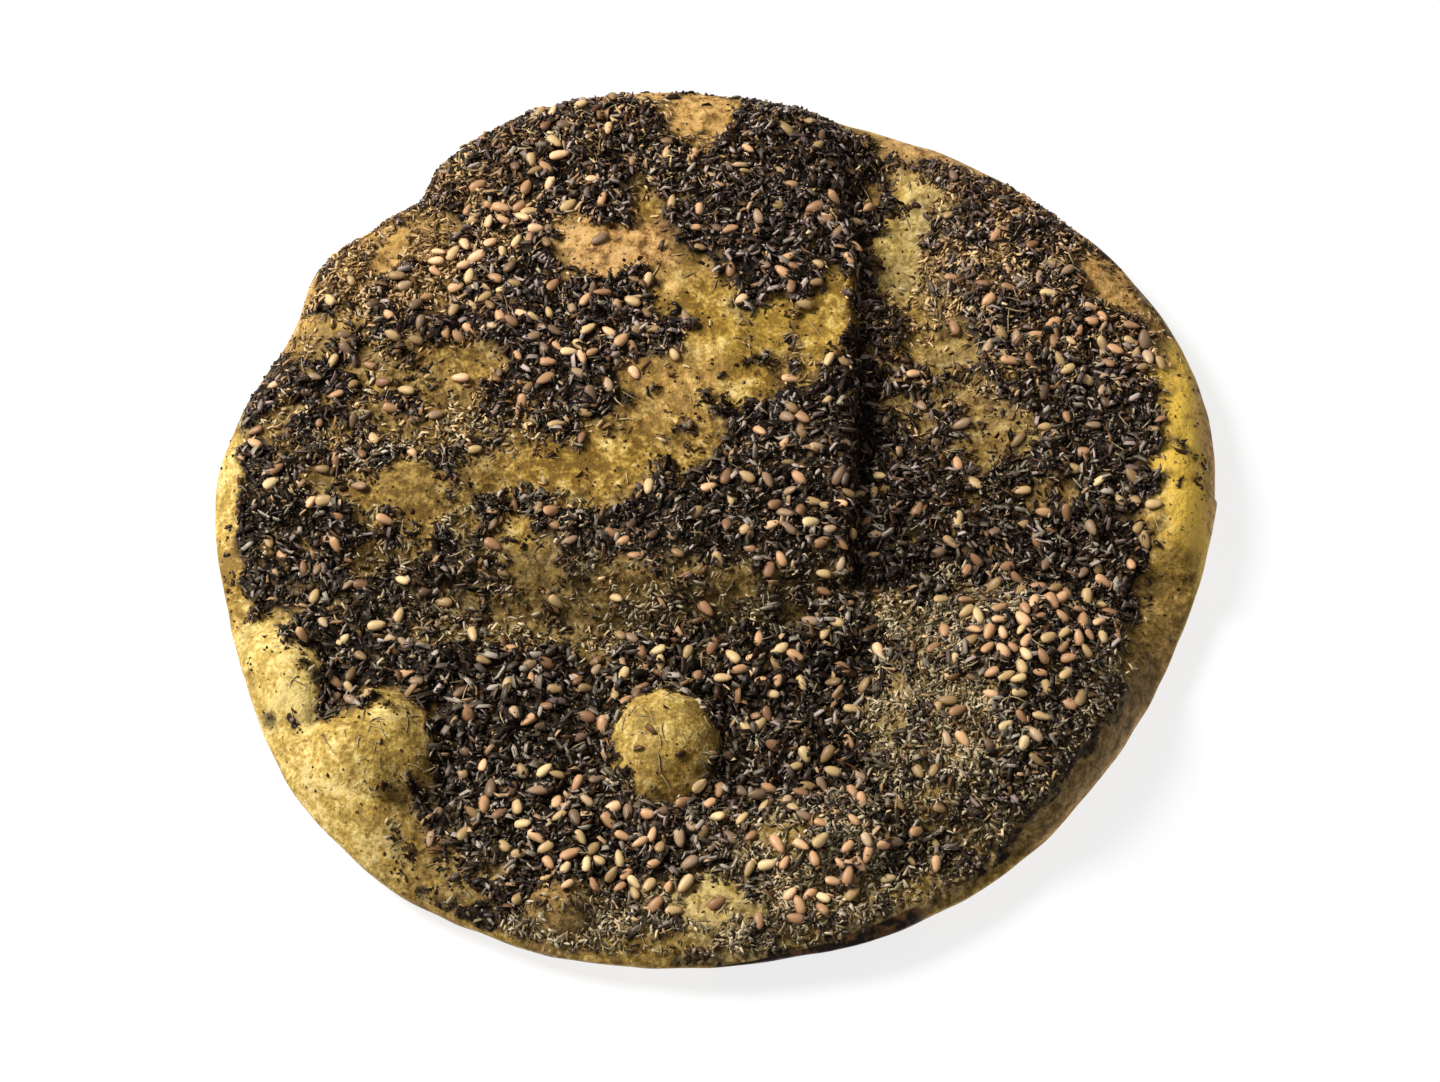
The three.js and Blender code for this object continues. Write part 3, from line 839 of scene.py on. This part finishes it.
# Cream, peach and taupe seeds, drawn in these shares, with no taupe ones in the heaps
SEED_KINDS, PEACH, TAUPE = [0.38, 0.42, 0.20], 1, 2
IN_HEAP = 0.5
SEED_TONE_PALE, SEED_TONE_DARK = 1.6, 1.9
HEAPED_PALER, DOME_LESS_PALE = 0.48, 0.28
on_dome = on_blister(seed_x, seed_y, DOME, DOME_FOOT)
seed_tones = rng.beta(SEED_TONE_PALE, SEED_TONE_DARK, len(seed_x))
seed_tones += (HEAPED_PALER - DOME_LESS_PALE * on_dome) * heaped
seed_kinds = rng.choice(len(SEED_KINDS), len(seed_x), p=SEED_KINDS)
seed_kinds[(seed_kinds == TAUPE) & (heaped > IN_HEAP)] = PEACH
seed_piece = strewn(
    "sesame",
    seed,
    seed_points,
    tilted(rng, seed_normals, SEED_TILT),
    spun(rng, len(seed_x)),
    sized(rng, len(seed_x), SEED_SIZES, SEED_SHAPES),
    tints_of(seed_kinds, seed_tones, len(SEED_KINDS)),
    smooth=True,
)
CREAM_SEED = [(0.20, 0.116, 0.048), (0.39, 0.245, 0.102), (0.64, 0.43, 0.190), (0.90, 0.65, 0.33)]
PEACH_SEED = [(0.20, 0.098, 0.046), (0.40, 0.207, 0.098), (0.68, 0.375, 0.180), (0.94, 0.57, 0.30)]
TAUPE_SEED = [(0.11, 0.064, 0.036), (0.21, 0.128, 0.072), (0.37, 0.235, 0.132), (0.62, 0.42, 0.24)]
# The seed's tip is darker, and painted shade darkens each seed towards its sides
SEED_TIP_AND_EDGE_SHADE, TIP_SHARE, EDGE_SHADE_SHARE = (0.10, 0.05, 0.025), 0.6, 0.5
SEED_ROUGHNESS, SEED_SHEEN = 0.42, 0.25
sesame = Finish("toasted_sesame")
tint, along_grain = tint_and_length(sesame)
seed_colour = sesame.colours(tint, tint_stops(CREAM_SEED, PEACH_SEED, TAUPE_SEED))
at_tip = sesame.between(along_grain, 0.72, 1.0, to_high=TIP_SHARE)
seed_colour = sesame.mix(at_tip, seed_colour, SEED_TIP_AND_EDGE_SHADE)
# Painted shade along the seed's sides, across the grain
across_grain = sesame.math("FRACT", sesame.math("MULTIPLY", tint, TINT_STEPS))
from_middle = sesame.math("ABSOLUTE", sesame.math("SUBTRACT", across_grain, 0.5))
painted_edge_shade = sesame.between(from_middle, 0.16, 0.4, to_high=EDGE_SHADE_SHARE)
seed_colour = sesame.mix(painted_edge_shade, seed_colour, SEED_TIP_AND_EDGE_SHADE)
sesame.dress(seed_piece, seed_colour, SEED_ROUGHNESS, SEED_SHEEN)
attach(seed_piece, "root")

# The herb leaf: dried thyme, curled to dark flakes in the oven and lying in the oil on the dough.
# Each flake is a thin leaf, pointed at both ends and bent along its length, some lying on their backs.
# The leaves at the back dried to a brownish mauve, those in front to a greyish green, some toasted brown.
LEAF_LENGTH, LEAF_WIDTH, LEAF_THICKNESS, LEAF_CURL, LEAF_FOLD = 2.05, 0.64, 0.3, 0.4, 0.3
LEAF_COUNT, LEAF_DRAW = 12000, 31
LEAF_RIM_GAP, LEAF_HEAP, LEAF_SCATTER = 1.6, 0.8, 1.0
LEAF_SIZES, LEAF_SHAPES = (0.55, 1.3), (0.75, 1.3)
LEAF_DARK_LARGER, LEAF_RIM_SMALLER = 0.25, 0.45
LEAF_RIM_TILT, LEAF_MORE_TILT = 0.1, 0.3
LEAF_FLAT_FROM, LEAF_FLAT_TO = 2, 6
LEAF_ON_BARE, LEAF_COVER_POWER, LEAF_ON_SEED = 0.015, 1.3, 0.1
ON_SEED_WITHIN, CLEAR_OF_SEED = 0.5, 1.1
# Where the herb is pale and dusty, and where it is darker as painted shade: x, y, half lengths, turn, how
# far
DUSTY_PATCHES = [
    (5, -71, 42, 6, 4, 0.9),
    (14, -60, 15, 8, 6, 0.9),
    (-8, -42.5, 9, 9, 0, 0.5),
    (60, -40, 24, 8, 57, 0.4),
    (-48, 43, 26, 12, 42, 0.4),
    (-24, 60, 28, 9, 14, 0.2),
    (50, 35, 24, 22, 0, 0.3),
    (-45, 2, 24, 20, 0, 0.22),
    (-15, -20, 32, 6, 0, 0.25),
    (39, -20, 14, 6, 10, 0.6),
]
DOME_DUSTY = 0.6
# Painted shade: darker herb in the valleys, in the shadow right of the crease and at the dome's foot, where
# the leaves are also larger
SHADED_HERB_PATCHES = [
    (4, -31, 30, 8, -3, 1.0),
    (-32, -34, 18, 11, 0, 1.0),
    (25, 8, 5, 44, 0, 1.0),
    (32, -61, 11, 5, 20, 0.3),
    (16, 52, 10, 18, 0, 0.35),
    (-34, 62, 18, 8, 25, 0.35),
    (20.5, -40, 11, 3, 95, 0.9),
    (26, -22, 10, 3, 48, 0.9),
]
# Where the herb toasted brown, with the same columns
BROWN_HERB_PATCHES = [
    (-30, 62, 34, 8, 25, 0.7),
    (-58, 42, 24, 9, 52, 1.0),
    (40, 60, 30, 6, -30, 0.7),
    (66, 30, 20, 6, -60, 0.8),
    (-20, -20, 30, 6, 0, 0.5),
]
# How much of the herb is dark: a power of a random share, so that 1 is even and more is darker
HERB_DARKNESS, HERB_LEAST_DARK, HERB_SHADE_DARKER, HERB_DUSTY_LESS = 1.2, 0.6, 0.6, 0.6
HERB_UNEVEN = [(5, 33, 0.3)]
GREEN_IN_FRONT, GREEN_LESS_BEHIND, GREEN_FRONT_Y, GREEN_BACK_Y = 0.8, 0.55, -25, 50
BROWN_SHARE, BROWN_MORE, BROWN_ON_BARE, DARKER_ON_BARE = 0.15, 0.5, 0.6, 0.5
HERB_KINDS, BROWN_KIND = 3, 2
seed_finder = KDTree(len(seed_x))
for i, (place_x, place_y) in enumerate(zip(seed_x, seed_y)):
    seed_finder.insert((place_x, place_y, 0), i)
seed_finder.balance()


def off_seeds(x, y):
    """How clear of the seeds a place is, from 0 to 1."""
    gaps = np.array([seed_finder.find((place_x, place_y, 0))[2] for place_x, place_y in zip(x, y)])
    return ramp(gaps, ON_SEED_WITHIN, CLEAR_OF_SEED)


def leaf_likelihood(x, y):
    in_herb = topping_cover(x, y, LEAF_SCATTER) ** LEAF_COVER_POWER
    return at_least(LEAF_ON_BARE, in_herb) * at_least(LEAF_ON_SEED, off_seeds(x, y))


def dustiness(x, y):
    return np.maximum(patchiness(x, y, DUSTY_PATCHES), DOME_DUSTY * on_dome_flank(x, y))


def leaf_shape(length, width, thickness, curl, fold):
    """A pointed leaf that lies along Y, bent along its length and folded along its middle."""
    bm = ball_along_y(around=4, along=3)
    for v in bm.verts:
        end, off_middle = abs(v.co.y) * 2, abs(v.co.x) * 2
        lift = fold * off_middle + curl * (0.5 - end * end)
        v.co = (v.co.x * width, v.co.y * length, v.co.z * thickness + lift)
    return bm


def herb_tones(rng, x, y):
    """Tints of bits of herb: mostly dark, darker still as painted shade in the shaded patches, more pale
    ones where it is dusty, greener towards the front.
    """
    darkness = HERB_DARKNESS + uneven(x, y, HERB_UNEVEN)
    # The herb is darker where shade is painted
    darkness += HERB_SHADE_DARKER * patchiness(x, y, SHADED_HERB_PATCHES) - HERB_DUSTY_LESS * dustiness(x, y)
    tone = rng.random(len(x)) ** np.maximum(darkness, HERB_LEAST_DARK)
    on_bare = 1 - topping_cover(x, y)
    green_share = GREEN_IN_FRONT - GREEN_LESS_BEHIND * ramp(y, GREEN_FRONT_Y, GREEN_BACK_Y)
    green = rng.random(len(x)) < green_share
    brown_share = BROWN_SHARE + BROWN_MORE * patchiness(x, y, BROWN_HERB_PATCHES) + BROWN_ON_BARE * on_bare
    brown = rng.random(len(x)) < brown_share
    kinds = np.where(brown, BROWN_KIND, green)
    return tints_of(kinds, tone * (1 - DARKER_ON_BARE * on_bare), HERB_KINDS)


def either_way_up(rng, count):
    return rng.choice([-1, 1], (count, 1))


rng = np.random.default_rng(LEAF_DRAW)
leaf_x, leaf_y = places_by(rng, LEAF_COUNT, leaf_likelihood, LEAF_RIM_GAP)
leaf_points, leaf_normals = surface_at(leaf_x, leaf_y)
off_rim = ramp(rim_gap(leaf_x, leaf_y), LEAF_FLAT_FROM, LEAF_FLAT_TO)
leaf_points[:, 2] += rng.uniform(0.0, LEAF_HEAP, LEAF_COUNT) * topping_cover(leaf_x, leaf_y) * off_rim
leaf_face = either_way_up(rng, LEAF_COUNT)
leaf_large = 1 + LEAF_DARK_LARGER * patchiness(leaf_x, leaf_y, SHADED_HERB_PATCHES)
leaf_large -= LEAF_RIM_SMALLER * (1 - off_rim)
leaf_piece = strewn(
    "herb_leaf",
    leaf_shape(LEAF_LENGTH, LEAF_WIDTH, LEAF_THICKNESS, LEAF_CURL, LEAF_FOLD),
    leaf_points,
    tilted(rng, leaf_normals, LEAF_RIM_TILT + LEAF_MORE_TILT * off_rim[:, None]) * leaf_face,
    spun(rng, LEAF_COUNT),
    leaf_large[:, None] * sized(rng, LEAF_COUNT, LEAF_SIZES, LEAF_SHAPES),
    herb_tones(rng, leaf_x, leaf_y),
    smooth=True,
)
MAUVE_HERB = [(0.008, 0.004, 0.002), (0.036, 0.020, 0.014), (0.17, 0.115, 0.094), (0.54, 0.42, 0.355)]
GREEN_HERB = [(0.007, 0.004, 0.001), (0.030, 0.020, 0.010), (0.14, 0.106, 0.072), (0.46, 0.38, 0.285)]
BROWN_HERB = [(0.016, 0.006, 0.002), (0.070, 0.031, 0.011), (0.25, 0.128, 0.052), (0.58, 0.375, 0.20)]
LEAF_FOOT_SHARE, HERB_ROUGHNESS, HERB_SHEEN = 0.5, 0.4, 0.2
herb = Finish("dried_herb")
tint, along_grain = tint_and_length(herb)
herb_colour = herb.colours(tint, tint_stops(MAUVE_HERB, GREEN_HERB, BROWN_HERB))
at_foot = herb.between(along_grain, 0.0, 0.3, to_low=LEAF_FOOT_SHARE, to_high=0.0)
herb_colour = herb.mix(at_foot, herb_colour, BED_BROWN)
herb.dress(leaf_piece, herb_colour, HERB_ROUGHNESS, HERB_SHEEN)
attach(leaf_piece, "root")

# The herb crumb: leaf rubbed to small bits, which fills the gaps between leaves and dusts the dough.
# Each bit is a rough eight-sided grain with the finish of the leaf.
CRUMB_SIZE = 0.62
CRUMB_COUNT, CRUMB_DRAW = 22000, 37
CRUMB_RIM_GAP, CRUMB_HEAP, CRUMB_TILT = 1.2, 0.3, 0.7
CRUMB_SIZES, CRUMB_SHAPES = (0.45, 1.2), (0.5, 1.4)
CRUMB_ON_BARE = 0.05


def crumb_likelihood(x, y):
    return CRUMB_ON_BARE + topping_cover(x, y, LEAF_SCATTER)


crumb = bmesh.new()
bmesh.ops.create_uvsphere(crumb, u_segments=4, v_segments=2, radius=CRUMB_SIZE / 2)
rng = np.random.default_rng(CRUMB_DRAW)
crumb_x, crumb_y = places_by(rng, CRUMB_COUNT, crumb_likelihood, CRUMB_RIM_GAP)
crumb_points, crumb_normals = surface_at(crumb_x, crumb_y)
crumb_points[:, 2] += rng.uniform(0.0, CRUMB_HEAP, CRUMB_COUNT) * topping_cover(crumb_x, crumb_y)
crumb_piece = strewn(
    "herb_crumb",
    crumb,
    crumb_points,
    tilted(rng, crumb_normals, CRUMB_TILT),
    spun(rng, CRUMB_COUNT),
    sized(rng, CRUMB_COUNT, CRUMB_SIZES, CRUMB_SHAPES),
    herb_tones(rng, crumb_x, crumb_y),
    smooth=False,
)
crumb_piece.data.materials.append(herb.material)
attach(crumb_piece, "root")

# The herb dust: the finest rubbed herb, which dried to pale flakes where the oil ran off.
# It lies thick on the slopes of the blisters and along the front edge, and is more golden at the back.
DUST_LENGTH, DUST_WIDTH, DUST_THICKNESS, DUST_CURL, DUST_FOLD = 1.5, 0.46, 0.32, 0.25, 0.2
DUST_COUNT, DUST_DRAW = 12000, 43
DUST_RIM_GAP, DUST_HEAP, DUST_TILT = 2, 0.5, 0.45
DUST_SIZES, DUST_SHAPES = (0.5, 1.2), (0.7, 1.3)
DUST_HEAPED, DUST_LEAST_HEAPED = 0.55, 0.08
DUST_HEAPS = [(8, 64, 0.4), (4.5, 61, 0.4), (2.2, 62, 0.4)]
DUST_BARE_FROM, DUST_BARE_TO = 0.5, 0.95
DUST_LESS_IN_LEAF, DUST_OFF_PATCHES, DUST_ON_SEED = 0.6, 0.03, 0.2
DUST_UNEVEN = [(3, 63, 0.3)]
GOLDEN_LEAST, GOLDEN_MORE, GOLDEN_FROM_Y, GOLDEN_TO_Y = 0.15, 0.75, -10, 30
DUST_KINDS = 2


def dust_likelihood(x, y):
    heaps = np.clip(DUST_HEAPED + uneven(x, y, DUST_HEAPS), DUST_LEAST_HEAPED, 1)
    off_bare = 1 - ramp(bareness(x, y, PATCH_SOFTNESS), DUST_BARE_FROM, DUST_BARE_TO)
    off_leaf = 1 - DUST_LESS_IN_LEAF * topping_cover(x, y)
    thick = at_least(DUST_OFF_PATCHES, dustiness(x, y)) * heaps
    return thick * off_bare * off_leaf * at_least(DUST_ON_SEED, off_seeds(x, y))


rng = np.random.default_rng(DUST_DRAW)
dust_x, dust_y = places_by(rng, DUST_COUNT, dust_likelihood, DUST_RIM_GAP)
dust_points, dust_normals = surface_at(dust_x, dust_y)
dust_points[:, 2] += rng.uniform(0.0, DUST_HEAP, DUST_COUNT)
dust_tones = rng.random(DUST_COUNT) + uneven(dust_x, dust_y, DUST_UNEVEN)
golden_likelihood = GOLDEN_LEAST + GOLDEN_MORE * ramp(dust_y, GOLDEN_FROM_Y, GOLDEN_TO_Y)
dust_golden = rng.random(DUST_COUNT) < golden_likelihood
dust_piece = strewn(
    "herb_dust",
    leaf_shape(DUST_LENGTH, DUST_WIDTH, DUST_THICKNESS, DUST_CURL, DUST_FOLD),
    dust_points,
    tilted(rng, dust_normals, DUST_TILT) * either_way_up(rng, DUST_COUNT),
    spun(rng, DUST_COUNT),
    sized(rng, DUST_COUNT, DUST_SIZES, DUST_SHAPES),
    tints_of(dust_golden, dust_tones, DUST_KINDS),
    smooth=True,
)
OLIVE_DUST = [(0.045, 0.030, 0.012), (0.17, 0.127, 0.062), (0.38, 0.300, 0.165), (0.66, 0.54, 0.355)]
GOLDEN_DUST = [(0.075, 0.039, 0.012), (0.27, 0.155, 0.060), (0.57, 0.360, 0.160), (0.82, 0.59, 0.31)]
DUST_ROUGHNESS, DUST_SHEEN = 0.6, 0.2
dust = Finish("herb_dust")
tint, _ = tint_and_length(dust)
dust_colour = dust.colours(tint, tint_stops(OLIVE_DUST, GOLDEN_DUST))
dust.dress(dust_piece, dust_colour, DUST_ROUGHNESS, DUST_SHEEN)
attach(dust_piece, "root")

# The herb stalk: thin straws of thyme stem among the leaves, and bare on a few blisters.
# Each is a three-sided straw, bent along its length.
STALK_LENGTH, STALK_WIDTH, STALK_BEND = 3.0, 0.22, 0.2
STALK_COUNT, STALK_DRAW = 520, 41
STALK_RIM_GAP, STALK_LIFT, STALK_TILT = 4, 0.1, 0.12
STALK_HEAP_LEAST, STALK_HEAP_MOST = 0.2, 0.7
STALK_SIZES, STALK_SHAPES = (0.6, 1.3), (0.7, 1.2)
STALK_PATCHES = [
    (-49, -43, 8, 7, 0, 1.0),
    (-8, -42, 9, 8, 0, 0.7),
    (33, -37, 15, 11, -30, 1.0),
    (-8, -71, 22, 5, 4, 0.8),
    (-25, 56, 24, 12, 0, 0.7),
    (48, 32, 18, 16, 0, 0.5),
]
STALK_OFF_PATCHES = 0.12


def stalk_likelihood(x, y):
    return at_least(STALK_OFF_PATCHES, patchiness(x, y, STALK_PATCHES))


stalk = ball_along_y(around=3, along=4)
for v in stalk.verts:
    bend = STALK_BEND * (1 - 4 * v.co.y * v.co.y)
    v.co = (v.co.x * STALK_WIDTH + bend, v.co.y * STALK_LENGTH, v.co.z * STALK_WIDTH)
rng = np.random.default_rng(STALK_DRAW)
stalk_x, stalk_y = places_by(rng, STALK_COUNT, stalk_likelihood, STALK_RIM_GAP)
stalk_points, stalk_normals = surface_at(stalk_x, stalk_y)
stalk_heap = rng.uniform(STALK_HEAP_LEAST, STALK_HEAP_MOST, STALK_COUNT)
stalk_points[:, 2] += STALK_LIFT + stalk_heap * topping_cover(stalk_x, stalk_y)
stalk_piece = strewn(
    "herb_stalk",
    stalk,
    stalk_points,
    tilted(rng, stalk_normals, STALK_TILT),
    spun(rng, STALK_COUNT),
    sized(rng, STALK_COUNT, STALK_SIZES, STALK_SHAPES),
    rng.random(STALK_COUNT),
    smooth=True,
)
STALK_BROWN = (0.16, 0.11, 0.055)
STALK_STRAW = (0.55, 0.42, 0.20)
STALK_ROUGHNESS, STALK_SHEEN = 0.55, 0.5
straw = Finish("dried_stalk")
tint, _ = tint_and_length(straw)
straw_colour = straw.colours(tint, [(0, STALK_BROWN), (1, STALK_STRAW)])
straw.dress(stalk_piece, straw_colour, STALK_ROUGHNESS, STALK_SHEEN)
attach(stalk_piece, "root")

# The studio: a plain pale floor, one soft key light from the left and a little behind,
# and pale light all round. The camera looks down at the angle of the photograph.
FLOOR_SIZE = 3.0
FLOOR_GREY, FLOOR_GLOW, FLOOR_ROUGHNESS, FLOOR_SHEEN = 0.2, 0.8, 0.9, 0.5
KEY_DIRECTION, KEY_ELEVATION, KEY_DISTANCE, KEY_SIZE, KEY_POWER = 155, 44, 1.0, 0.4, 15
CAMERA_AIM = Vector((0.46, -7.14, 5.2)) * MM
CAMERA_DIRECTION, CAMERA_ELEVATION, CAMERA_DISTANCE = -90, 62, 0.527
CAMERA_LENS, CAMERA_SENSOR = 85, 36
WORLD_LIGHT = 0.25
WHITE = (1, 1, 1, 1)

floor_bm = bmesh.new()
bmesh.ops.create_grid(floor_bm, x_segments=1, y_segments=1, size=FLOOR_SIZE / 2)
floor_mesh = bpy.data.meshes.new("floor")
floor_bm.to_mesh(floor_mesh)
floor_bm.free()
floor = bpy.data.objects.new("floor", floor_mesh)
bpy.context.scene.collection.objects.link(floor)
pale = Finish("pale_floor")
pale.shader.inputs["Emission Color"].default_value = WHITE
pale.shader.inputs["Emission Strength"].default_value = FLOOR_GLOW
pale.dress(floor, (FLOOR_GREY, FLOOR_GREY, FLOOR_GREY, 1), FLOOR_ROUGHNESS, FLOOR_SHEEN)


def aimed(obj, aim, direction, elevation, distance):
    """Puts a light or camera at a direction and elevation from the point that it looks at."""
    c = math.cos(math.radians(elevation))
    back = Vector(
        (
            c * math.cos(math.radians(direction)),
            c * math.sin(math.radians(direction)),
            math.sin(math.radians(elevation)),
        )
    )
    obj.location = aim + back * distance
    obj.rotation_euler = back.to_track_quat("Z", "Y").to_euler()
    bpy.context.scene.collection.objects.link(obj)


key_light = bpy.data.lights.new("key", "AREA")
key_light.shape = "DISK"
key_light.size = KEY_SIZE
key_light.energy = KEY_POWER
key = bpy.data.objects.new("key", key_light)
aimed(key, CAMERA_AIM, KEY_DIRECTION, KEY_ELEVATION, KEY_DISTANCE)

world = bpy.data.worlds.new("pale_room")
world.use_nodes = True
world.node_tree.nodes["Background"].inputs["Color"].default_value = WHITE
world.node_tree.nodes["Background"].inputs["Strength"].default_value = WORLD_LIGHT
bpy.context.scene.world = world
bpy.context.scene.view_settings.view_transform = "Standard"

camera_data = bpy.data.cameras.new("camera")
camera_data.lens = CAMERA_LENS
camera_data.sensor_width = CAMERA_SENSOR
camera = bpy.data.objects.new("camera", camera_data)
aimed(camera, CAMERA_AIM, CAMERA_DIRECTION, CAMERA_ELEVATION, CAMERA_DISTANCE)
bpy.context.scene.camera = camera
